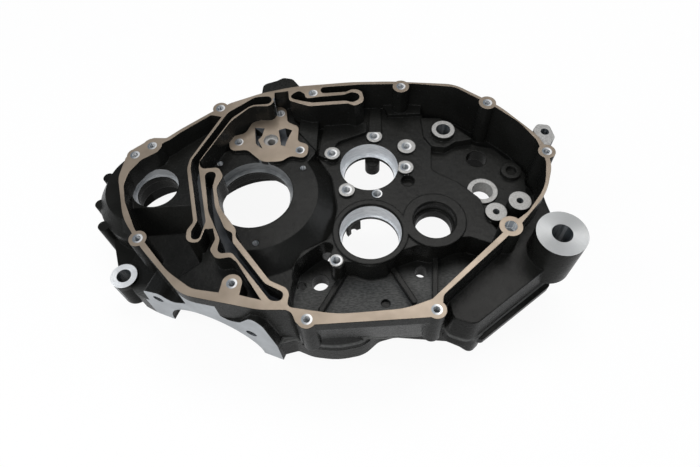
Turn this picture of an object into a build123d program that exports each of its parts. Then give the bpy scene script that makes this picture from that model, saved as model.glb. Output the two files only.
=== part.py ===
from build123d import *
from math import cos, radians, sin
import os

# A motorcycle crankcase half, one aluminium casting, lying on its joint face at z = 0.
# The crankshaft axis is x = y = 0, +X runs back to the gearbox and swingarm, and the
# clutch cover closes the upper face. Sizes are in millimetres.

# Heights above the joint face
case_depth = 87.0
crank_land = 64.5
web_top = 56.0
balancer_land = 68.5
balancer_ceiling = 42.0
shift_floor = 50.0
shell_shoulder = 47.0
trough_floor = 42.0
boss_low = 41.0
gearbox_ceiling = 38.0
front_floor = 47.0
low_floor = 29.0
floor_underside = 24.0
arm_top = 59.0
arm_low = 18.0
pump_top = 68.5
flange_height = 7.0

# Walls and clearances
gallery_depth = 20.0
shell_wall = 6.0
floor_wall = 5.0
through = 1.0

# Bearings: place, seat radius, seat depth, lip radius, underside of the lip
crank = (0, 0)
crank_bearing = (crank, 34.0, 9.0, 30.5, 41.0)
mainshaft_bearing = ((101.5, 28.5), 26.0, 15.0, 23.0, gearbox_ceiling)
output_bearing = ((97.8, -40.4), 26.0, 15.0, 24.5, floor_underside)
drum_bearing = ((152.3, -33.3), 17.5, 9.0, 15.5, gearbox_ceiling)
balancer = (-84.6, 10.3)
balancer_bearing = (balancer, 20.0, 8.0, 18.0, balancer_ceiling)
crank_chamber, balancer_chamber = 62.0, 46.0
inner_seat_depth = 12.0
front_shell = (-90.1, 19.8)

# Cover bolts round the rail: place and boss radius
cover_hole, cover_hole_depth = 2.5, 24.0
cover_bosses = [
    ((-98.8, 32.7), 6.8), ((-85.3, 41.7), 8.3), ((-28.8, 81), 6.8), ((55, 92.7), 7.2),
    ((135.5, 94.2), 7.5), ((209.9, 67.4), 7.6), ((248.6, 8.6), 7.2), ((138.4, -126.1), 7.1),
    ((46.4, -127.3), 7.0), ((-8.3, -95.6), 7.6), ((-84.1, -51.6), 7.0),
]
dowel_place, dowel_boss, dowel_radius, dowel_depth = (204.2, -61.6), 9.0, 4.8, 8.0

# Cylinder base face: lean of its normal, place of the bore centre line, spigot and studs
cylinder_lean = 24.1
cylinder_face = (-40.1, -100.4)
neck_length = 34.0
face_headroom = 76.0
spigot_radius, spigot_offset, spigot_length = 44.0, 2.5, 66.0
stud_reach, stud_height, stud_radius = 42.5, 42.0, 4.6

# Swingarm pivot, engine mount and breather lug
pivot = (241.2, -70.8)
pivot_boss, pivot_bore, pivot_low = 19.7, 8.0, 40.0
mount = (-115.3, -54.8)
mount_radius, mount_bore, mount_top = 11.5, 6.2, 33.0


def outline(*corners):
    """Closed face through corners of place and radius."""
    line = FilletPolyline(*[p for p, _ in corners], radius=[r for _, r in corners], close=True)
    return make_face(line.edges())


def disc(place, radius):
    return Pos(*place) * Circle(radius)


def block(face, low, high, taper=0):
    """The face at the low level raised to the high one."""
    return extrude(Pos(0, 0, low) * face, high - low, (0, 0, 1), taper=taper)


def rod(place, radius, low, high):
    return Pos(*place, low) * Cylinder(radius, high - low, align=(Align.CENTER, Align.CENTER, Align.MIN))


def bar(start, end, width, low, high):
    """Straight rib with round ends in plan."""
    return block(SlotCenterPoint(((start[0] + end[0]) / 2, (start[1] + end[1]) / 2), end, width), low, high)


def step_bore(place, seat, depth, lip, underside, top, clear):
    """Bearing seat with a lip below it, cut clear of the screw bosses above it."""
    bore = rod(place, seat, top - depth, top) + rod(place, lip, underside - through, top)
    return bore + rod(place, seat + 0.8, top, top + clear) if clear else bore


rail = outline(
    ((-109.3, 9.2), 26), ((-106.3, 30.2), 8), ((-101.3, 39.2), 6), ((-85.8, 50.6), 5), ((-73.8, 49.4), 4), ((-61.8, 59.2), 20), ((-37.8, 76.2), 10), ((-19.8, 86.7), 14),
    ((8.2, 96.7), 60), ((38.2, 102.4), 90), ((90.2, 103.6), 150), ((128.2, 101.2), 200), ((184.2, 92.7), 30), ((220.2, 61.7), 60),
    ((250.2, 19.2), 50), ((248.7, -7.8), 40), ((238.2, -33.8), 60), ((212.2, -60.3), 30), ((144.7, -115.3), 6),
    ((141.2, -131.6), 6), ((39.2, -131.6), 6), ((35.2, -119.3), 8), ((12.2, -117.8), 60), ((-45.8, -101.8), 30),
    ((-79.8, -60.8), 60), ((-98.8, -31.8), 60),
)
balancer_side = outline(
    ((-27.1, 70.4), 0), ((-36.8, 73.5), 4), ((-62.3, 54.8), 20), ((-70.8, 47.1), 8), ((-76.8, 43.8), 4), ((-79.3, 34.7), 6),
    ((-92.8, 26.7), 10), ((-101.3, 14.2), 12), ((-103.6, 1.2), 14), ((-99.8, -15.8), 30), ((-87.8, -42.8), 20), ((-57.8, -81.8), 60), ((-37.8, -97.8), 18),
    ((-19.8, -101.8), 6), ((-3.8, -104.8), 0), ((13.7, -110.3), 0), ((-5.8, -77.8), 5), ((-10.8, -73.3), 4),
    ((-21.8, -74.3), 6), ((-26.8, -65.8), 4), ((-23.3, -56.8), 4), ((-25.8, -46.8), 0), ((-32.3, -46.8), 0),
    ((-35.3, -58.3), 4), ((-46.3, -58.8), 6.5), ((-46.3, -46.8), 6), ((-41.8, -39.8), 6), ((-52.3, 14.2), 18),
    ((-50.8, 24.2), 8),
)
clutch_side = outline(
    ((19.7, 96.2), 0), ((32.2, 97.2), 0), ((33.2, 85.2), 4), ((42.2, 80.7), 4), ((51.2, 76.7), 6), ((86.2, 77.2), 4), ((92.2, 73.7), 4),
    ((101.2, 78.2), 7), ((99.2, 93.2), 7), ((90.2, 94.4), 3.5), ((85.2, 91.7), 3.5), ((62, 91.7), 3.5), ((62, 99.4), 3.5),
    ((98.2, 100), 60), ((148.2, 96.6), 20), ((184.2, 89.2), 16), ((217.2, 60.2), 20), ((233.2, 41.7), 40), ((243.2, 21.2), 10),
    ((245.5, -1.8), 18), ((239.2, -26.8), 50), ((220.2, -49.3), 20), ((208.2, -57.3), 20), ((136.2, -117.8), 0), ((116.2, -123.8), 60),
    ((68.2, -124.8), 80), ((32.2, -116.8), 4), ((34.7, -103.3), 8), ((19.7, -95.3), 10), ((-7.8, -55.8), 8), ((-7.8, -48.8), 6),
    ((-21.8, -27.8), 30), ((-26.3, -7.8), 12), ((-21.3, 4.2), 6), ((-25.8, 13.4), 5), ((-40.3, 12.8), 5), ((-42.8, 20.2), 6),
    ((-18.8, 64.2), 30), ((-0.8, 81.2), 12), ((16.2, 79.7), 6), ((19.7, 86.2), 5),
)
left_gallery = outline(
    ((17.2, 92.2), 4.6), ((2.2, 92.2), 12), ((-21.8, 75.2), 16), ((-49.3, 23.2), 12), ((-49.3, 14.2), 12), ((-38.8, -38.8), 5),
    ((-42.8, -47.8), 4), ((-42.3, -55.8), 3.5), ((-35.8, -55.8), 3.5), ((-32.1, -39.8), 5), ((-42.5, 14.2), 10), ((-42.3, 22.2), 10),
    ((-17.8, 68.2), 16), ((-0.8, 82.5), 12), ((17.2, 82.7), 4.6),
)
middle_gallery = outline(
    ((-37.4, 9.8), 4.2), ((-26.8, 8.8), 4.2), ((-29.2, -5.8), 10), ((-25.8, -26.8), 30), ((-16.3, -48.3), 10), ((-10.3, -51.8), 4),
    ((-9.8, -60.3), 6), ((16.2, -97.3), 8), ((30, -105.3), 4), ((28.7, -112.3), 4), ((20.2, -111.3), 6),
    ((-9.8, -69.3), 5), ((-21.8, -69.8), 4.5), ((-19.8, -56.8), 8), ((-30.8, -30.8), 30),
)
right_gallery = outline(
    ((34.8, 87.8), 3.5), ((35, 92.2), 3.5), ((42.2, 97.2), 3.8), ((47.2, 92.2), 4), ((48.2, 86.2), 4), ((60.2, 87.6), 20), ((83.2, 88.2), 10),
    ((90.2, 91.2), 5), ((97.2, 88.2), 5), ((96.7, 81.2), 5), ((90.2, 78), 5), ((84.2, 80.8), 8), ((54.2, 80.8), 10), ((43.2, 84.2), 8),
)
lower_outline = outline(
    ((-142.8, 20.2), 50), ((-129.8, 64.2), 45), ((-89.8, 74.2), 40), ((-63.8, 80.2), 20), ((-33.8, 98.2), 20), ((4.2, 110.2), 10),
    ((8.2, 126.2), 8), ((26.2, 128.2), 6), ((42.2, 122.2), 8), ((50.2, 106.2), 12), ((90.2, 103.6), 60), ((128.2, 101.2), 200), ((184.2, 92.7), 30),
    ((220.2, 61.7), 60), ((250.2, 19.2), 50), ((251.2, -13.8), 20), ((234.2, -43.8), 10), ((212.2, -61.8), 15), ((184.2, -88.8), 8),
    ((182.7, -123.8), 6), ((174.2, -130.8), 6), ((166.7, -124.8), 4), ((156.2, -119.3), 4), ((113.2, -113.3), 10), ((99.2, -116.3), 12),
    ((86.2, -126.8), 24), ((64.2, -129.8), 60), ((43.2, -125.8), 30), ((31.2, -119.8), 4), ((16.2, -122.8), 3), ((-94.8, -75.8), 3), ((-104.8, -69.8), 5), ((-122.8, -45.8), 12),
)

# Outer body: the lower shell, the deep upper rim and the drafted wall under the front of the rail
case = block(lower_outline, 0, low_floor)
case += block(rail, low_floor - floor_wall, case_depth)
case += rod(front_shell, 52, 0, shell_shoulder)
for place in ((-139.5, 41.7), (-141.5, 12.2), (-134.7, -11.5)):
    case += rod(place, 5, 0, shell_shoulder)
case += Pos(*front_shell, shell_shoulder) * Cone(52, 42, 14, align=(Align.CENTER, Align.CENTER, Align.MIN))
case += block(outline(((-89.8, 73.2), 3), ((-63.8, 80.2), 20), ((-33.8, 98.2), 20), ((4.2, 110.2), 6), ((58.2, 104.2), 6), ((38.2, 6.2), 3), ((-89.8, 6.2), 3)),
              0, shell_shoulder)
case += block(outline(((4.2, 86.2), 2), ((7.2, 118.2), 6), ((20.2, 122.2), 5), ((26.2, 125.7), 5), ((35.2, 123.2), 6), ((48.2, 102.2), 3), ((48.2, 86.2), 2)),
              floor_underside, 77)
front_draft = extrude(Plane.YZ.offset(18.2) * make_face(Polyline(
    (-132.4, case_depth - flange_height), (-122.3, floor_underside), (-122.3, low_floor - floor_wall - through),
    (-153.8, low_floor - floor_wall - through), (-153.8, case_depth - flange_height), close=True)), 134)
case -= front_draft

case += block(outline(((101.2, -103.8), 0), ((31.2, -103.8), 0), ((31.2, -117.8), 4), ((43.2, -125.8), 30), ((64.2, -129.8), 60),
                      ((86.2, -126.8), 20), ((101.2, -111.8), 3)), floor_underside, 60, taper=9)

# Arm back to the swingarm pivot
arm = outline(((149.2, -105.8), 3), ((151.2, -124.8), 10), ((170.2, -132.8), 14), ((238.2, -86.8), 6), ((250.2, -79.8), 8), ((256.2, -65.8), 12),
              ((251.2, -23.8), 30), ((249.2, 16.2), 0), ((233.2, 16.2), 0), ((198.2, -53.8), 5))
case += block(arm, arm_low, arm_top, taper=5)
case += bar((180.2, -124.8), (241.2, -83.8), 8, arm_low, arm_low + 8)
case += rod(pivot, pivot_boss, pivot_low, case_depth)
case += rod(mount, mount_radius, 0, mount_top)

# Cylinder neck, its face square to the leaning bore
face_plane = Plane(origin=(*cylinder_face, 0), x_dir=(cos(radians(cylinder_lean)), -sin(radians(cylinder_lean)), 0),
                   z_dir=(-sin(radians(cylinder_lean)), -cos(radians(cylinder_lean)), 0))
neck_outline = outline(
    ((-58, 0), 0), ((-54, 50), 4), ((-37, 56), 6), ((-28, 46.5), 8), ((-5, 61.5), 10), ((15, 62.5), 8), ((24, 53), 10),
    ((36, 59), 8), ((49.5, 79), 5), ((57, 69), 6), ((63.5, 34), 20), ((64, 0), 0),
)
case += extrude(face_plane * neck_outline, -neck_length)
for place, radius in cover_bosses:
    case += rod(place, radius, boss_low, case_depth)
case += rod(dowel_place, dowel_boss, boss_low, case_depth)
case -= extrude(face_plane * Pos(2, 0) * Rectangle(128, 2 * face_headroom), 30)

# Bracket lug outside the rear of the rail
lug, lug_top = (252.7, 31.2), 85.5
case += block(outline(((243.2, 34.2), 3), ((248.2, 40.2), 4), ((258.2, 38.2), 4), ((259.7, 24.2), 4), ((253.2, 16.2), 3), ((245.2, 14.2), 2)),
              60, lug_top)

# Bowls sunk from the cover face, bolt columns left standing
columns = Sketch() + [disc(place, radius) for place, radius in cover_bosses + [(dowel_place, dowel_boss)]]
columns += outline(((-15.9, -95.6), 0), ((-17.8, -103.8), 0), ((-2.8, -107.8), 0), ((-0.9, -96.8), 0))
clutch_bowl = clutch_side - columns
balancer_bowl = balancer_side - columns
case -= block(clutch_bowl, web_top, case_depth)
ramp = extrude(Plane(origin=(*(-75.3, 46.7), balancer_land), x_dir=(0.6, -0.8, 0), z_dir=(0.8, 0.6, 0))
               * make_face(Polyline((-8, 0), (5, 0), (0, 9.5), (-8, 9.5), close=True)), 62)
case -= block(balancer_bowl, balancer_land, case_depth) - ramp
for gallery in (left_gallery, middle_gallery, right_gallery):
    case -= block(gallery, case_depth - gallery_depth, case_depth)

# Floors below the bearing web
low_region = outline(
    ((30.2, -133.8), 0), ((30.2, -85.8), 15), ((35.2, -63.8), 8), ((48.2, -53.8), 8), ((60.2, -46.8), 5), ((67.2, -50.3), 4), ((62.7, -60.8), 4),
    ((64.2, -71.8), 5), ((71.2, -72.8), 0), ((75.2, -66.8), 0), ((82.2, -67.8), 5), ((94.2, -73.8), 20), ((109.2, -70.8), 8), ((119.2, -60.8), 8),
    ((136.2, -55.3), 10), ((149.2, -59.3), 10), ((170.2, -50.8), 8), ((180.2, -50.8), 4), ((213.2, -66.8), 0), ((213.2, -133.8), 0),
)
valley = outline(((55.2, 42.2), 0), ((67.2, 20.2), 20), ((71.2, -13.8), 30), ((64.2, -43.8), 8), ((40.2, -54.8), 8), ((32.2, -69.8), 8),
                 ((32.2, -99.8), 0), ((-1.8, -99.8), 0), ((-23.8, -45.8), 0), ((-1.8, -13.8), 0))
shift_region = outline(((155.2, 80.2), 0), ((160.2, 48.2), 4), ((156.7, 20.2), 6), ((178.2, 5.2), 15), ((194.2, -13.8), 12), ((199.2, -38.8), 5),
                       ((206.2, -51.8), 0), ((228.2, -53.8), 0), ((260.2, -13.8), 0), ((260.2, 80.2), 0))
trough = outline(((156.2, 106.2), 0), ((156.2, 80.2), 0), ((172.2, 80.2), 0), ((183.2, 70.2), 8), ((195.2, 54.2), 0), ((204.2, 49.2), 0),
                 ((218.2, 45.2), 4), ((227.2, 31.7), 0), ((232.2, 30.2), 0), ((239.7, 16.2), 0), ((237.2, -8.8), 0), ((260.2, -8.8), 0),
                 ((260.2, 106.2), 0))
pocket_edge = -10.0
front_pocket = outline(((-111.8, -5.8), 0), ((-37.8, -5.8), 0),
                       ((-37.8, -65.8), 4), ((-56.8, -79.8), 4), ((-59.8, -93.8), 0), ((-111.8, -43.8), 0))
case -= block(low_region & clutch_bowl, low_floor, case_depth)
case -= block((valley - disc(crank, 55.7)) & clutch_bowl, shift_floor, case_depth)
case += (Pos(*crank, shift_floor) * Cone(74, 55.7, crank_land - shift_floor, align=(Align.CENTER, Align.CENTER, Align.MIN))
         & block(valley & clutch_bowl, shift_floor, crank_land))
case -= block(shift_region & clutch_bowl, shift_floor, case_depth)
case -= block(trough & clutch_bowl, trough_floor, case_depth)
pocket_slope = extrude(Plane.YZ.offset(-130) * make_face(Polyline(
    (pocket_edge, case_depth), (pocket_edge, balancer_land), (pocket_edge - 15, front_floor), (-110, front_floor),
    (-110, case_depth), close=True)), 100)
case -= pocket_slope & block(front_pocket & balancer_bowl, front_floor, case_depth)

# Raised land round the crank, the ridges and pads behind it, and the shelf by the cylinder
land = disc(crank, 55.7) + outline(((-31.8, 16.2), 0), ((-11.8, 70.2), 4), ((6.2, 82.2), 4), ((19.2, 97.2), 0), ((32.2, 97.2), 0),
                                   ((35.2, 82.2), 4), ((46.2, 66.2), 6), ((55.2, 42.2), 8), ((28.2, 6.2), 0))
case += block(land & clutch_side, shift_floor, crank_land)
case += block(outline(((39.2, 66.2), 0), ((43.2, 92.2), 0), ((59.2, 90.2), 0), ((55.2, 42.2), 0)) & clutch_side, shift_floor, 66)
case += block(outline(((56.2, 42.2), 0), ((62.7, 78.2), 0), ((103.2, 78.2), 0), ((102.2, 66.2), 4), ((74.2, 56.2), 8), ((65.2, 36.2), 5))
              & clutch_side, shift_floor, 60)
case += block(outline(((103.7, 66.2), 0), ((107.2, 96.2), 0), ((117.7, 96.2), 0), ((116.2, 66.2), 0)), shift_floor, 58.5)
case += block(outline(((119.2, 102.2), 0), ((123.7, 85.7), 0), ((154.2, 84.7), 0), ((157.2, 100.2), 0)), shift_floor, 60)
case += block(outline(((154.2, 58.2), 0), ((154.2, 81.2), 0), ((172.2, 79.2), 0), ((184.2, 68.2), 4), ((198.2, 51.2), 0), ((182.2, 49.2), 4),
                      ((172.2, 43.2), 4), ((160.2, 46.2), 0)), trough_floor, 58)
case += block(outline(((-54.8, -89.8), 0), ((-53.8, -77.8), 0), ((-27.8, -69.3), 4), ((-13.8, -78.8), 0), ((-1.8, -93.8), 0),
                      ((-1.8, -105.8), 0), ((-41.8, -99.8), 0)) & balancer_bowl, front_floor - through, 65)

# Oil pump seat
pump = outline(
    ((10.2, 96.2), 8), ((28.2, 96.2), 8), ((29.2, 76.7), 6), ((39.7, 70.2), 6), ((38.7, 52.2), 5), ((48.7, 48.2), 6), ((46.7, 31.7), 6),
    ((32.2, 36.2), 6), ((24.2, 30.7), 10), ((7.2, 31.2), 12), ((-6.8, 46.2), 8), ((-22.3, 46.2), 6), ((-24.3, 62.2), 5.5), ((-8.8, 66.2), 8),
    ((-2.8, 80.2), 8), ((6.2, 80.2), 6),
)
pump_shaft = (14.4, 56)
pump_holes = [(22.8, 87.8), (-14.7, 56), (40.7, 42.2)]
pump_inlet = outline(((-0.8, 72.2), 0), ((8.2, 70.7), 0), ((6.2, 61.7), 4), ((2.7, 57.2), 0), ((6.7, 46.7), 0), ((0.7, 52.2), 6))
pump_outlet = outline(((21.2, 67.2), 0), ((27.2, 69.2), 0), ((33.7, 66.2), 0), ((29.2, 55.2), 8), ((27.2, 47.7), 0), ((23.7, 49.2), 0))
case += block(pump, web_top, pump_top)
case -= block(pump_inlet, pump_top - 12, case_depth) + block(pump_outlet, pump_top - 12, case_depth)
case -= rod(pump_shaft, 6.6, pump_top - 3, case_depth)
case -= rod(pump_shaft, 3.6, pump_top - 20, case_depth)

# Screw bosses and ring bosses on the floors: place, radius, top, hole radius, hole depth
floor_bosses = [
    ((108.8, 61.7), 7.2, 58.5, 2.9, 16), ((137.2, 47.3), 8.2, 58.5, 2.9, 16), ((133.6, 23.5), 7.2, 58.5, 2.9, 16),
    ((69.1, 42.1), 7.0, 61.5, 2.9, 16), ((80.2, 2.7), 7.0, 58.5, 2.9, 16), ((106.3, -2.2), 4.6, 56.8, 3.3, 12),
    ((68.2, -65.5), 5.6, 56.8, 3.3, 14), ((172.2, 60.7), 10.5, 63, 6.5, 14), ((227.7, 16), 9, 54, 4.5, 4),
    ((223.5, -25.6), 9.3, 67, 2.8, 18), ((204.1, -30.5), 9, 60, 2.8, 16), ((198.9, -2.9), 13.2, 52, 9, 14.5),
]
for place, radius, top, hole, depth in floor_bosses:
    case += rod(place, radius, low_floor - 1, top)

# Raised collars round the output and drum bores
collars = (disc(output_bearing[0], 31.5) + disc(drum_bearing[0], 26.5)) & clutch_side
case += block(collars, web_top - through, web_top + 2.2)

# Low floor ribs
for start, end in (((74.5, -65.2), (53.2, -99)), ((114.2, -64.1), (129.7, -96.1)), ((152.2, -54.5), (146.7, -94.4))):
    case += bar(start, end, 4.6, floor_underside, low_floor + 7)

# Underside: crank and balancer chambers, the bore to the cylinder, the gearbox and the hollow arm
spigot = extrude(face_plane * Pos(spigot_offset, 0) * Circle(spigot_radius), -spigot_length)
gearbox = outline(
    ((28.2, -103.8), 8), ((42.2, -117.8), 12), ((88.2, -118.8), 12), ((102.2, -106.8), 8), ((146.2, -106.8), 5), ((203.2, -59.8), 8),
    ((218.2, -45.8), 8), ((237.2, -23.8), 10), ((239.2, 14.2), 10), ((214.2, 54.2), 10), ((180.2, 85.2), 12), ((90.2, 96.2), 10),
    ((18.2, 98.2), 10), ((18.2, 46.2), 5), ((58.2, -33.8), 5), ((28.2, -68.8), 5),
) - disc(crank, crank_chamber + shell_wall)
low_relief = outline(((18.2, -143.8), 0), ((18.2, -79.8), 0), ((48.2, -43.8), 0), ((76.2, -59.8), 0), ((118.2, -53.8), 0), ((184.2, -43.8), 0),
                     ((228.2, -63.8), 0), ((228.2, -143.8), 0))
arm_hollow = outline(((189.2, -94.8), 4), ((195.2, -107.8), 4), ((222.2, -89.3), 5), ((215.2, -67.8), 5))
case -= rod(balancer, balancer_chamber, -through, balancer_ceiling)
case -= rod(crank, crank_chamber, -through, crank_bearing[4])
case -= spigot
case -= block(gearbox, -through, floor_underside)
case -= block(gearbox - low_relief, floor_underside - through, gearbox_ceiling)
case -= block(arm_hollow, -through, arm_top - shell_wall)

# Tubes under the through holes of the low floor, and screw bosses hanging below the web
low_holes = [((52.7, -71), 7.5), ((37.1, -73.5), 4), ((138.8, -66.6), 5.5)]
for place, hole in low_holes:
    case += rod(place, hole + 3.5, low_floor - 17, low_floor)
for place in ((106.2, 50.2), (84.2, -19.8)):
    case += rod(place, 7, floor_underside, gearbox_ceiling) - rod(place, 3, floor_underside, gearbox_ceiling - 2)

# Bearing seats, the crank and balancer ones repeated from the inside under a thin lip
case -= step_bore(*crank_bearing, crank_land, 0)
case -= step_bore(*balancer_bearing, balancer_land, 0)
for bearing in (mainshaft_bearing, output_bearing, drum_bearing):
    case -= step_bore(*bearing, web_top, 6)
for place, seat, depth, lip, underside in (crank_bearing, balancer_bearing):
    case -= rod(place, seat, underside - through, underside + inner_seat_depth)

# Holes
for place, radius, top, hole, depth in floor_bosses:
    case -= rod(place, hole, top - depth, case_depth)
for place in pump_holes:
    case -= rod(place, 2.9, pump_top - 16, case_depth)
for place, radius in cover_bosses:
    case -= rod(place, cover_hole, case_depth - cover_hole_depth, case_depth)
case -= rod(dowel_place, dowel_radius, case_depth - dowel_depth, case_depth)
case -= rod(dowel_place, 3.4, case_depth - cover_hole_depth, case_depth)
for place in ((-31.1, 35.5), (42.8, 24.8), (3.5, -49.1)):
    case -= rod(place, 2.6, crank_land - 12, crank_land + through)
case -= rod(lug, 3.5, 50, case_depth)
for place, hole in low_holes:
    case -= rod(place, hole, 0, low_floor + through)
case -= rod((200.3, 34.3), 9, 0, case_depth)
case -= rod((106.6, -93.9), 4, low_floor - 3, case_depth) + rod((134.5, 10.3), 6, web_top - 6, case_depth)
case -= rod(pivot, pivot_bore, -through, case_depth) + rod(mount, mount_bore, -through, case_depth)
for side in (-stud_reach, stud_reach):
    case -= extrude(face_plane * Pos(side, stud_height) * Circle(stud_radius), -22)

os.makedirs("parts", exist_ok=True)
case.label = "crankcase_casting"
export_step(case, "parts/crankcase_casting.step")
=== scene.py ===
import bpy, math
from mathutils import Matrix, Vector

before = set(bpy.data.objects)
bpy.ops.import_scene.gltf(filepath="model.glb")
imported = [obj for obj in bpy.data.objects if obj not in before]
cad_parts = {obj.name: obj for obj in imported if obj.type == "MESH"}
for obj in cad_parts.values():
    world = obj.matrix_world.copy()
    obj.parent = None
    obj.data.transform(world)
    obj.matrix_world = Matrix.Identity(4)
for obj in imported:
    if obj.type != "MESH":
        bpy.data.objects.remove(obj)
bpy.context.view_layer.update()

# The whole part is one sand-cored aluminium casting, shot-blasted and painted satin black.
# Paint lies drier on the outside walls, and thins to a dusty grey on the low floor of the
# clutch bowl, where the core left a coarser skin.
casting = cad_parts["crankcase_casting"]
MM = 0.001
FLAT, WALL = 0.99, 0.5
NEAR_LEVEL, BELOW_FACE = 0.1, 0.2


class Value:
    """One number or vector travelling through a finish, so that its maths reads as on paper."""

    def __init__(self, finish, socket):
        self.finish, self.socket = finish, socket

    def math(self, operation, *others):
        terms = {0: self, **dict(enumerate(others, 1))}
        return self.finish.node("ShaderNodeMath", {"operation": operation}, terms)

    def math_after(self, operation, first):
        return self.finish.node("ShaderNodeMath", {"operation": operation}, {0: first, 1: self})

    def __add__(self, other):
        return self.math("ADD", other)

    def __sub__(self, other):
        return self.math("SUBTRACT", other)

    def __mul__(self, other):
        return self.math("MULTIPLY", other)

    def __truediv__(self, other):
        return self.math("DIVIDE", other)

    def __pow__(self, other):
        return self.math("POWER", other)

    def __rsub__(self, other):
        return self.math_after("SUBTRACT", other)

    def __rtruediv__(self, other):
        return self.math_after("DIVIDE", other)

    def __rpow__(self, other):
        return self.math_after("POWER", other)

    __radd__, __rmul__ = __add__, __mul__

    def least(self, other):
        return self.math("MINIMUM", other)

    def most(self, other):
        return self.math("MAXIMUM", other)

    def sine(self):
        return self.math("SINE")

    def root(self):
        return self.math("SQRT")

    def ramp(self, low, high):
        """A smooth step from 0 at one level to 1 at the other."""
        levels = {"Value": self, "From Min": low, "From Max": high, "To Min": 0.0, "To Max": 1.0}
        return self.finish.node("ShaderNodeMapRange", {"interpolation_type": "SMOOTHSTEP"}, levels)


class Finish:
    """One surface finish, built up node by node."""

    def __init__(self, name):
        self.material = bpy.data.materials.new(name)
        self.material.use_nodes = True
        self.tree = self.material.node_tree
        self.shader = self.tree.nodes["Principled BSDF"]

    def node(self, kind, settings=None, sockets=None, output=0):
        made = self.tree.nodes.new(kind)
        for setting, value in (settings or {}).items():
            setattr(made, setting, value)
        for socket, value in (sockets or {}).items():
            if isinstance(value, Value):
                self.tree.links.new(value.socket, made.inputs[socket])
            else:
                made.inputs[socket].default_value = value
        return Value(self, made.outputs[output])

    def place(self):
        """The point on the part, in millimetres."""
        point = self.node("ShaderNodeNewGeometry", output="Position")
        return self.node("ShaderNodeVectorMath", {"operation": "SCALE"}, {0: point, "Scale": 1 / MM})

    def axes(self, vector):
        split = self.node("ShaderNodeSeparateXYZ", sockets={0: vector}).socket.node
        return [Value(self, split.outputs[i]) for i in range(3)]

    def noise(self, point, scale, detail=3.0, roughness=0.55, stretch=None):
        if stretch:
            point = self.node("ShaderNodeVectorMath", {"operation": "MULTIPLY"}, {0: point, 1: stretch})
        pattern = {"Vector": point, "Scale": scale, "Detail": detail, "Roughness": roughness}
        return self.node("ShaderNodeTexNoise", sockets=pattern)

    def mix(self, share, first, second):
        """Goes from the first colour to the second."""
        made = self.tree.nodes.new("ShaderNodeMix")
        made.data_type = "RGBA"
        for socket, value in ((0, share), (6, first), (7, second)):
            if isinstance(value, Value):
                self.tree.links.new(value.socket, made.inputs[socket])
            else:
                made.inputs[socket].default_value = (*value, 1.0)
        return Value(self, made.outputs[2])

    def surface(self, **inputs):
        for name, value in inputs.items():
            socket = self.shader.inputs[name.replace("_", " ")]
            if isinstance(value, Value):
                self.tree.links.new(value.socket, socket)
            else:
                socket.default_value = value
        return self.material

    def bump(self, height, depth, strength=1.0, edge=0.0):
        """A relief of this depth in metres, over edges rounded by the given radius."""
        sockets = {"Height": height, "Distance": depth, "Strength": strength}
        if edge:
            sockets["Normal"] = self.node("ShaderNodeBevel", {"samples": 6}, {"Radius": edge})
        return self.node("ShaderNodeBump", sockets=sockets)


def cast_paint(name, gloss):
    f = Finish(name)
    p = f.place()
    y, z = f.axes(p)[1:]
    grain = f.noise(p, 1.1, 4.0, 0.6)
    orange_peel = f.noise(p, 0.16, 2.0)
    cloud = f.noise(p, 0.02, 2.0)
    core_skin = f.noise(p, 0.9, 3.0, 0.6, (0.35, 1.0, 1.0))
    at_low_floor = z.ramp(33.0, 29.5) * z.ramp(26.0, 28.5)
    dusty = at_low_floor * y.ramp(-60.0, -76.0)
    tone = f.mix(cloud.ramp(0.35, 0.65), (0.0080, 0.0081, 0.0074), (0.0125, 0.0127, 0.0117))
    dust = f.mix(core_skin.ramp(0.3, 0.7), (0.070, 0.071, 0.070), (0.150, 0.151, 0.146))
    relief = grain * 0.6 + orange_peel * 0.8 + core_skin * dusty
    return f.surface(
        Specular_IOR_Level=gloss, Base_Color=f.mix(dusty * 0.85, tone, dust),
        Roughness=0.22 + orange_peel * 0.10 + dusty * 0.25, Normal=f.bump(relief, 0.35 * MM, 0.6, 1.6 * MM))


casting.data.materials.clear()


def give(material, wanted):
    """Puts a finish on every facet whose centre (mm) and normal answer the test."""
    casting.data.materials.append(material)
    number = len(casting.data.materials) - 1
    for facet in casting.data.polygons:
        if wanted(facet.center * 1000, facet.normal):
            facet.material_index = number


OPEN_WALL, CLEAR_OF_SKIN = 0.35, 0.5
FRONT_SHELL_END = -112.0


def outside(c, n):
    """True for the front shell, and for the walls that look straight away from the casting."""
    blocked = casting.ray_cast((c + n * CLEAR_OF_SKIN) * MM, n)[0]
    return abs(n.z) < OPEN_WALL and not blocked or c.x < FRONT_SHELL_END


give(cast_paint("satin_black_paint", 0.13), lambda c, n: True)
give(cast_paint("dry_black_paint", 0.045), outside)

# The three oil galleries are open channels in the rail, and two kidney ports are sunk in the
# pump seat. Both are as cast and catch the overspray as a thin blue-grey film, so they read
# lighter than the bowl.
GALLERY_FLOOR, GALLERY_END = 67.0, 110.0
PUMP_TOP, PUMP_SHAFT = 68.5, (14.4, 56.0)
PUMP_SCREWS = [(22.8, 87.8), (-14.7, 56.0), (40.7, 42.2)]
PORT_REACH, PORT_FOOT, CLEAR_OF_SCREW = (7.5, 19.0), 45.0, 9.0


def gallery_film():
    f = Finish("gallery_film")
    p = f.place()
    speckle = f.noise(p, 0.8, 4.0, 0.65)
    cloud = f.noise(p, 0.08, 2.0)
    tone = f.mix(cloud.ramp(0.3, 0.7), (0.075, 0.083, 0.092), (0.135, 0.146, 0.160))
    return f.surface(Base_Color=tone, Roughness=0.42 + speckle * 0.15,
                     Normal=f.bump(speckle, 0.2 * MM, 0.5, 1.2 * MM))


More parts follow.
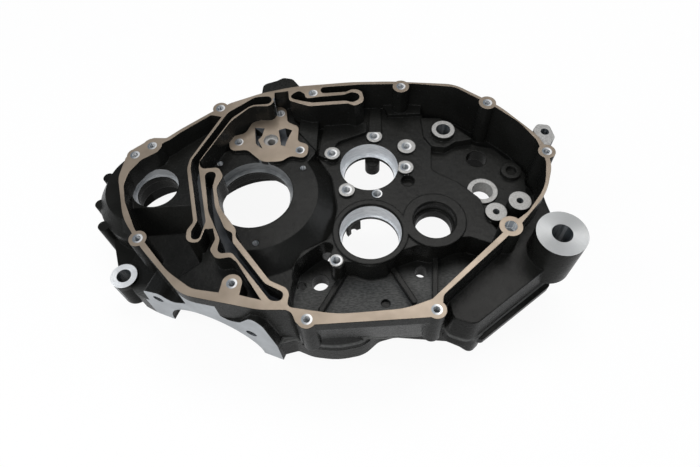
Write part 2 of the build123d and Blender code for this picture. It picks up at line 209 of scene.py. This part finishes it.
def off_axis(c, place):
    """How far a facet centre lies from an upright axis."""
    return (c.xy - Vector(place[:2])).length


def in_port(c, n):
    low, high = PORT_REACH
    beside_shaft = low < off_axis(c, PUMP_SHAFT) < high and off_axis(c, PUMP_SCREWS[0]) > CLEAR_OF_SCREW
    return beside_shaft and PORT_FOOT < c.z < PUMP_TOP - NEAR_LEVEL


def on_gallery_floor(c, n):
    return abs(c.z - GALLERY_FLOOR) < NEAR_LEVEL and n.z > FLAT and c.x < GALLERY_END


give(gallery_film(), lambda c, n: on_gallery_floor(c, n) or in_port(c, n))

# The gasket rail, the tops of its gallery walls and the oil pump seat are milled in one pass
# each and left bare. The cutter leaves a fine tan-grey sheen with faint overlapping arcs. Round
# each screw hole the shade and highlight of a countersunk mouth are painted into the colour.
RAIL_TOP = 87.0
PIVOT, PIVOT_RADIUS = (241.2, -70.8), 20.0
COVER_HOLES = [
    (-98.8, 32.7), (-85.3, 41.7), (-28.8, 81.0), (55.0, 92.7), (135.5, 94.2), (209.9, 67.4),
    (248.6, 8.6), (138.4, -126.1), (46.4, -127.3), (-8.3, -95.6), (-84.1, -51.6), (204.2, -61.6),
]
SEAT_LEFT, SEAT_RIGHT, SEAT_FRONT = -30.0, 55.0, 25.0
MOUTH_SPREAD, MOUTH_EDGE, RAIL_MOUTH = 6.0, 0.15, 4.1


def nearest(x, y, holes):
    """The distance to the nearest hole, and how far right of that hole the point lies."""
    away, side = None, None
    for hole_x, hole_y in holes:
        across = x - hole_x
        reach = (across * across + (y - hole_y) ** 2.0).root()
        near = (MOUTH_SPREAD - reach).most(0.0).least(1.0)
        away = reach if away is None else away.least(reach)
        side = across * near if side is None else side + across * near
    return away, side


def painted_mouth_shading(f, x, y, holes, radius, tone):
    """Paints a countersink round each hole: painted shade on its left side, painted highlight on its right.
    """
    away, side = nearest(x, y, holes)
    # The cone's colour is painted shade and highlight, not a cut in the face.
    painted_shade_and_highlight = f.mix(side.ramp(-3.0, 3.0), (0.16, 0.18, 0.20), (0.70, 0.70, 0.70))
    return f.mix(away.ramp(radius + MOUTH_EDGE, radius - MOUTH_EDGE), tone, painted_shade_and_highlight)


def milled_rail():
    f = Finish("milled_gasket_face")
    p = f.place()
    x, y = f.axes(p)[:2]
    arcs = f.node("ShaderNodeTexWave", {"wave_type": "RINGS", "rings_direction": "Z"},
                  {"Vector": p, "Scale": 0.35, "Distortion": 0.6, "Detail": 2.0, "Detail Scale": 0.4})
    grain = f.noise(p, 2.2, 3.0)
    cloud = f.noise(p, 0.035, 3.0)
    tone = f.mix(cloud.ramp(0.3, 0.7), (0.22, 0.176, 0.133), (0.31, 0.252, 0.196))
    # Painted shade and highlight of each screw hole's countersunk mouth.
    tone = painted_mouth_shading(f, x, y, COVER_HOLES + PUMP_SCREWS, RAIL_MOUTH, tone)
    return f.surface(Base_Color=tone, Metallic=0.45, Roughness=0.27 + grain * 0.12,
                     Normal=f.bump(arcs * 0.5 + grain * 0.5, 0.04 * MM, 0.5, 0.35 * MM))


def on_pivot_face(c, n):
    return c.z > RAIL_TOP - NEAR_LEVEL and n.z > FLAT and off_axis(c, PIVOT) < PIVOT_RADIUS


def on_rail(c, n):
    return c.z > RAIL_TOP - NEAR_LEVEL and n.z > FLAT and not on_pivot_face(c, n)


def on_pump_seat(c, n):
    on_level = abs(c.z - PUMP_TOP) < NEAR_LEVEL and n.z > FLAT
    return on_level and SEAT_LEFT < c.x < SEAT_RIGHT and c.y > SEAT_FRONT


give(milled_rail(), lambda c, n: on_rail(c, n) or on_pump_seat(c, n))

# Bearing and shaft seats are bored after painting, so their walls and ledges are bright
# metal with fine rings from the boring bar. Each is given as place, radius, foot and top.
SEATS = {
    "crank": ((0.0, 0.0), 34.0, 55.5, 64.5),
    "mainshaft": ((101.5, 28.5), 26.0, 41.0, 56.0),
    "output": ((97.8, -40.4), 26.0, 41.0, 56.0),
    "balancer": ((-84.6, 10.3), 20.0, 60.5, 68.5),
    "shift shaft": ((198.9, -2.9), 9.0, 37.0, 52.0),
}
WALL_ROOM, LEDGE_ROOM, RIM_ROOM = 0.7, 0.3, 3.0


def bored_wall(name, dark, light):
    f = Finish(name)
    p = f.place()
    z = f.axes(p)[2]
    rings = (z * 9.0 + f.noise(p, 0.3) * 2.0).sine()
    streak = f.noise(p, 0.5, 2.0, stretch=(0.3, 0.3, 3.0))
    tone = f.mix(streak.ramp(0.3, 0.7), dark, light)
    return f.surface(Base_Color=tone, Metallic=0.3, Roughness=0.34 + streak * 0.12,
                     Normal=f.bump(rings * 0.5, 0.02 * MM, 0.5, 0.4 * MM))


def in_seat(c, n, name):
    centre, radius, foot, top = SEATS[name]
    away = off_axis(c, centre)
    on_wall = abs(away - radius) < WALL_ROOM and abs(n.z) < WALL
    on_ledge = away < radius and n.z > FLAT and abs(c.z - foot) < LEDGE_ROOM
    return foot - BELOW_FACE < c.z < top + RIM_ROOM and (on_wall or on_ledge)


def give_seats(material, *names):
    give(material, lambda c, n: any(in_seat(c, n, name) for name in names))


bearing_bore = bored_wall("bored_bearing_seat", (0.62, 0.64, 0.665), (0.86, 0.88, 0.90))
shaft_bore = bored_wall("bored_shaft_seat", (0.42, 0.435, 0.45), (0.56, 0.575, 0.59))
# The crank seat takes the same bored finish in much darker tones.
crank_bore = bored_wall("darker_crank_seat", (0.15, 0.155, 0.16), (0.24, 0.25, 0.255))
give_seats(bearing_bore, "mainshaft", "output")
give_seats(shaft_bore, "balancer", "shift shaft")
give_seats(crank_bore, "crank")

# The screw and ring bosses are spot-faced bright, each with the swirl of its own cutter, and
# drilled or tapped down through. Each boss is given as place and radius. The screw bosses
# carry the painted shade and highlight of a countersunk mouth round their holes.
SCREW_BOSSES = [
    (108.8, 61.7, 7.2), (137.2, 47.3, 8.2), (133.6, 23.5, 7.2), (69.1, 42.1, 7.0), (80.2, 2.7, 7.0),
    (106.3, -2.2, 4.6), (68.2, -65.5, 5.6),
]
RING_BOSSES = [(172.2, 60.7, 10.5), (223.5, -25.6, 9.3), (204.1, -30.5, 9.0)]
SHIFT_BOSS = (198.9, -2.9, 13.2)
LUG, LUG_TOP, LUG_START = (252.7, 31.2), 85.5, 240.0
SPOT_DRILLINGS = [(-31.1, 35.5), (42.8, 24.8), (3.5, -49.1)]
SCREW_BORE, SHAFT_BORE = 2.9, 6.6
PUMP_BORES = [(*screw, SCREW_BORE) for screw in PUMP_SCREWS] + [(*PUMP_SHAFT, SHAFT_BORE)]
HOLE_SHARE, RIM, BOSS_MOUTH = 0.75, 0.2, 4.6
HOLE_FOOT, BOSS_FOOT = 38.5, 50.5
TAPPED_REACH, RING_BORE_REACH = 3.6, 6.9
LUG_BORE_REACH, LUG_BORE_FOOT = 4.0, 70.0
DRILLING_REACH, DRILLING_FOOT, DRILLING_TOP = 3.0, 52.0, 64.4


def spot_face():
    f = Finish("bright_spot_face")
    p = f.place()
    x, y = f.axes(p)[:2]
    swirl = f.noise(p, 0.8, 4.0, 0.6)
    tone = f.mix(swirl.ramp(0.3, 0.7), (0.26, 0.255, 0.245), (0.40, 0.395, 0.385))
    # Painted shade and highlight of each screw boss's countersunk mouth.
    tone = painted_mouth_shading(f, x, y, [boss[:2] for boss in SCREW_BOSSES], BOSS_MOUTH, tone)
    return f.surface(Base_Color=tone, Metallic=0.35, Roughness=0.36 + swirl * 0.12,
                     Normal=f.bump(swirl, 0.05 * MM, 0.5, 0.5 * MM))


def on_boss(c, n):
    for boss in SCREW_BOSSES + RING_BOSSES + [SHIFT_BOSS]:
        away, radius = off_axis(c, boss), boss[2]
        in_hole = away < radius * HOLE_SHARE and c.z > HOLE_FOOT
        if in_hole or away < radius + RIM and c.z > BOSS_FOOT and n.z > FLAT:
            return True
    return False


def on_lug(c, n):
    return abs(c.z - LUG_TOP) < NEAR_LEVEL and n.z > FLAT and c.x > LUG_START


def in_pump_bore(c, n):
    at_depth = PORT_FOOT < c.z < PUMP_TOP - NEAR_LEVEL
    return at_depth and any(off_axis(c, bore) < bore[2] + RIM for bore in PUMP_BORES)


give(spot_face(), lambda c, n: on_boss(c, n) or on_lug(c, n) or in_pump_bore(c, n))


def tapped_wall(name, dark, light):
    f = Finish(name)
    p = f.place()
    z = f.axes(p)[2]
    thread = (z * math.tau).sine()
    # Vertical streaks down the wall are painted highlights.
    streak = f.noise(p, 0.55, 1.0, 0.4, (1.0, 1.0, 0.05))
    return f.surface(Base_Color=f.mix(streak.ramp(0.38, 0.62), dark, light), Metallic=0.3,
                     Roughness=0.26 + thread * 0.04, Normal=f.bump(thread, 0.2 * MM, 0.5))


# Tapped holes are bare metal coloured light with painted highlights; deep plain bores take a dark copy of
# the same finish as painted shade.
thread_painted_lit = tapped_wall("tapped_hole_painted_lit", (0.36, 0.39, 0.42), (0.93, 0.935, 0.94))
bore_painted_shade = tapped_wall("plain_bore_painted_shade", (0.055, 0.065, 0.072), (0.15, 0.16, 0.17))


def down_hole(c, n, holes, reach, foot=HOLE_FOOT, top=RAIL_TOP - BELOW_FACE):
    return foot < c.z < top and abs(n.z) < WALL and any(off_axis(c, hole) < reach for hole in holes)


def in_spot_drilling(c, n):
    at_depth = DRILLING_FOOT < c.z < DRILLING_TOP
    return at_depth and any(off_axis(c, hole) < DRILLING_REACH for hole in SPOT_DRILLINGS)


def in_plain_hole(c, n):
    in_lug = down_hole(c, n, [LUG], LUG_BORE_REACH, LUG_BORE_FOOT, math.inf)
    return in_lug or down_hole(c, n, RING_BOSSES, RING_BORE_REACH)


# Tapped and drilled holes get the painted-lit wall, plain holes the painted shade.
give(thread_painted_lit, lambda c, n: down_hole(c, n, SCREW_BOSSES + PUMP_SCREWS, TAPPED_REACH))
give(thread_painted_lit, in_spot_drilling)
give(bore_painted_shade, in_plain_hole)

# The clutch cover's screws and its dowel have their own holes, drilled and tapped down from
# the gasket face, bare metal with painted highlights down their walls.
COVER_HOLE_REACH, COVER_HOLE_FOOT = 5.0, 60.0


def in_cover_hole(c, n):
    at_depth = COVER_HOLE_FOOT < c.z < RAIL_TOP - BELOW_FACE
    return at_depth and any(off_axis(c, hole) < COVER_HOLE_REACH for hole in COVER_HOLES)


give(thread_painted_lit, in_cover_hole)

# The swingarm pivot and the front engine mount are faced square to their bores, with broad
# turning rings across the whole face. The fan of light that turned metal shows is a painted
# highlight in the colour, lighter in two opposite quarters of each face.
MOUNT, MOUNT_RADIUS, MOUNT_FOOT = (-115.3, -54.8), 11.7, 1.0
PIVOT_BORE_REACH, MOUNT_BORE_REACH = 8.4, 6.6


def turned_face(name, centre, dark, light):
    f = Finish(name)
    p = f.place()
    x, y = f.axes(p)[:2]
    across, along = x - centre[0], y - centre[1]
    away = (across * across + along * along).root()
    # A painted highlight, lighter in two opposite quarters of the face.
    painted_fan_highlight = 0.5 - across * along / (away * away).most(1.0)
    wander = f.noise(p, 0.06, 2.0)
    rings = (away * 7.0 + wander * 3.0).sine()
    tone = f.mix(rings.ramp(-1.0, 1.0) * 0.35 + wander * 0.25 + painted_fan_highlight * 0.45, dark, light)
    return f.surface(Base_Color=tone, Metallic=0.35, Roughness=0.32 + wander * 0.12,
                     Normal=f.bump(rings, 0.07 * MM, 0.9, 0.5 * MM))


def on_mount_face(c, n):
    return off_axis(c, MOUNT) < MOUNT_RADIUS and n.z > FLAT and c.z > MOUNT_FOOT


def in_long_bore(c, n):
    in_bore = off_axis(c, PIVOT) < PIVOT_BORE_REACH or off_axis(c, MOUNT) < MOUNT_BORE_REACH
    return abs(n.z) < WALL and in_bore


give(turned_face("turned_pivot_face", PIVOT, (0.30, 0.305, 0.305), (0.60, 0.605, 0.60)), on_pivot_face)
# The mount face takes the same turned finish in much lighter tones, as painted light on that face.
give(turned_face("turned_mount_face", MOUNT, (0.70, 0.71, 0.72), (0.92, 0.93, 0.94)), on_mount_face)
# The pivot and mount bores take painted shade.
give(bore_painted_shade, in_long_bore)

# The cylinder base face and the joint face below are fly-cut in one pass each and left bare.
# The cylinder face leans with the bore of the engine.
LEAN = math.radians(24.1)
FACE_NORMAL = Vector((-math.sin(LEAN), -math.cos(LEAN), 0.0))
FACE_REACH, FACE_SHIFT = 108.02, 4.39


def fly_cut():
    f = Finish("fly_cut_face")
    p = f.place()
    lines = f.node("ShaderNodeTexWave", {"wave_type": "RINGS", "rings_direction": "SPHERICAL"},
                   {"Vector": p, "Scale": 0.5, "Distortion": 0.3})
    cloud = f.noise(p, 0.05, 3.0)
    tone = f.mix(cloud.ramp(0.3, 0.7), (0.34, 0.355, 0.37), (0.44, 0.46, 0.475))
    return f.surface(Base_Color=tone, Metallic=0.5, Roughness=0.40 + cloud * 0.1,
                     Normal=f.bump(lines, 0.02 * MM, 0.5, 0.4 * MM))


def on_cylinder_face(c, n):
    return n.dot(FACE_NORMAL) > 0.999 and abs(c.dot(FACE_NORMAL) - FACE_REACH) < 0.6


give(fly_cut(), lambda c, n: on_cylinder_face(c, n) or n.z < -FLAT and c.z < NEAR_LEVEL)

# The cylinder studs screw into two drilled holes square to that face, one each side of the
# bore. They are deep, and their walls take painted shade.
STUD_HEIGHT, STUD_REACH, STUD_DEPTH, STUD_ROOM = 42.0, 42.5, 23.0, 5.0
STUD_FOOT = FACE_NORMAL * FACE_REACH + Vector((0.0, 0.0, STUD_HEIGHT))
STUD_SIDE = Vector((math.cos(LEAN), -math.sin(LEAN), 0.0))


def in_stud_hole(c, n):
    away = c - STUD_FOOT
    depth, side = -away.dot(FACE_NORMAL), away.dot(STUD_SIDE) - FACE_SHIFT
    beside_axis = abs(abs(side) - STUD_REACH) < STUD_ROOM and abs(away.z) < STUD_ROOM
    return BELOW_FACE < depth < STUD_DEPTH and beside_axis


give(bore_painted_shade, in_stud_hole)

# A sheet of white paper lies under the part. The camera sees it almost white, polished metal
# sees it half lit, and the part's shadow stays on it.
PAPER_SIZE, PAPER_DROP = 6.0, 0.0005
SEEN_WHITE, MIRRORED_WHITE = 0.92, 0.42
bpy.ops.mesh.primitive_plane_add(size=PAPER_SIZE, location=(0.06, 0.0, -PAPER_DROP))
floor = bpy.context.object
floor.name = "paper_floor"


def paper():
    f = Finish("white_paper")
    p = f.place()
    fibre = f.noise(p, 0.8, 3.0)
    f.surface(Base_Color=f.mix(fibre, (0.90, 0.90, 0.90), (0.93, 0.93, 0.93)), Roughness=0.8,
              Normal=f.bump(fibre, 0.02 * MM, 0.3))
    glow = f.node("ShaderNodeEmission", sockets={"Color": (1.0, 1.0, 1.0, 1.0), "Strength": 1.0})
    ray = f.node("ShaderNodeLightPath").socket.node
    camera_ray = Value(f, ray.outputs["Is Camera Ray"])
    glossy_ray = Value(f, ray.outputs["Is Glossy Ray"])
    transmission_ray = Value(f, ray.outputs["Is Transmission Ray"])
    seen_white = (camera_ray + transmission_ray) * SEEN_WHITE
    share = (seen_white + glossy_ray * MIRRORED_WHITE).least(SEEN_WHITE)
    lit = f.node("ShaderNodeMixShader", sockets={0: share, 1: Value(f, f.shader.outputs[0]), 2: glow})
    f.tree.links.new(lit.socket, f.tree.nodes["Material Output"].inputs["Surface"])
    return f.material


floor.data.materials.append(paper())

# The studio is a dim bluish room with soft boxes round the part and one small flash by the
# camera. Only the camera sees the room as white.
ROOM_LIGHT = 0.24
world = bpy.data.worlds.new("studio")
bpy.context.scene.world = world
world.use_nodes = True
sky = world.node_tree
background = sky.nodes["Background"]
background.inputs["Color"].default_value = (0.80, 0.88, 1.0, 1.0)
background.inputs["Strength"].default_value = ROOM_LIGHT
white = sky.nodes.new("ShaderNodeBackground")
white.inputs["Color"].default_value = (1.0, 1.0, 1.0, 1.0)
white.inputs["Strength"].default_value = 1.0
seen = sky.nodes.new("ShaderNodeLightPath")
choose = sky.nodes.new("ShaderNodeMixShader")
sky.links.new(seen.outputs["Is Camera Ray"], choose.inputs[0])
sky.links.new(background.outputs[0], choose.inputs[1])
sky.links.new(white.outputs[0], choose.inputs[2])
sky.links.new(choose.outputs[0], sky.nodes["World Output"].inputs["Surface"])
AIM = Vector((0.06, 0.0, 0.03))
WARM, PLAIN, COOL, COOLER = (1.0, 0.98, 0.95), (1.0, 1.0, 1.0), (0.96, 0.98, 1.0), (0.94, 0.97, 1.0)


def softbox(name, place, size, power, tint):
    lamp = bpy.data.lights.new(name, "AREA")
    lamp.shape, lamp.size, lamp.size_y = "RECTANGLE", size[0], size[1]
    lamp.energy, lamp.color = power, tint
    holder = bpy.data.objects.new(name, lamp)
    bpy.context.scene.collection.objects.link(holder)
    holder.location = place
    holder.rotation_mode = "QUATERNION"
    holder.rotation_quaternion = (AIM - Vector(place)).to_track_quat("-Z", "Y")


softbox("front_softbox", (-0.25, -0.95, 1.0), (0.7, 0.5), 7.0, WARM)
softbox("ring_flash", (0.08, -0.42, 0.75), (0.16, 0.16), 0.5, PLAIN)
softbox("back_overhead_softbox", (0.30, 0.60, 1.44), (1.2, 0.6), 10.5, WARM)
softbox("left_softbox", (-1.1, -0.1, 1.1), (0.7, 0.7), 6.5, COOLER)
softbox("right_softbox", (1.4, 0.2, 0.7), (0.7, 0.7), 4.0, COOL)

# The camera stands above the cylinder side and looks down across the clutch bowl. Its place
# and lens were worked out from the round seats and the rail in the photo.
lens = bpy.data.cameras.new("camera")
lens.sensor_width, lens.lens = 36.0, 27.77
lens.clip_start, lens.clip_end = 0.01, 20.0
camera = bpy.data.objects.new("camera", lens)
bpy.context.scene.collection.objects.link(camera)
camera.matrix_world = Matrix((
    (0.9980, 0.0628, 0.0, 0.0806),
    (-0.0538, 0.8546, -0.5165, -0.2734),
    (-0.0324, 0.5155, 0.8563, 0.442),
    (0.0, 0.0, 0.0, 1.0),
))
bpy.context.scene.camera = camera
bpy.context.scene.view_settings.view_transform = "Standard"
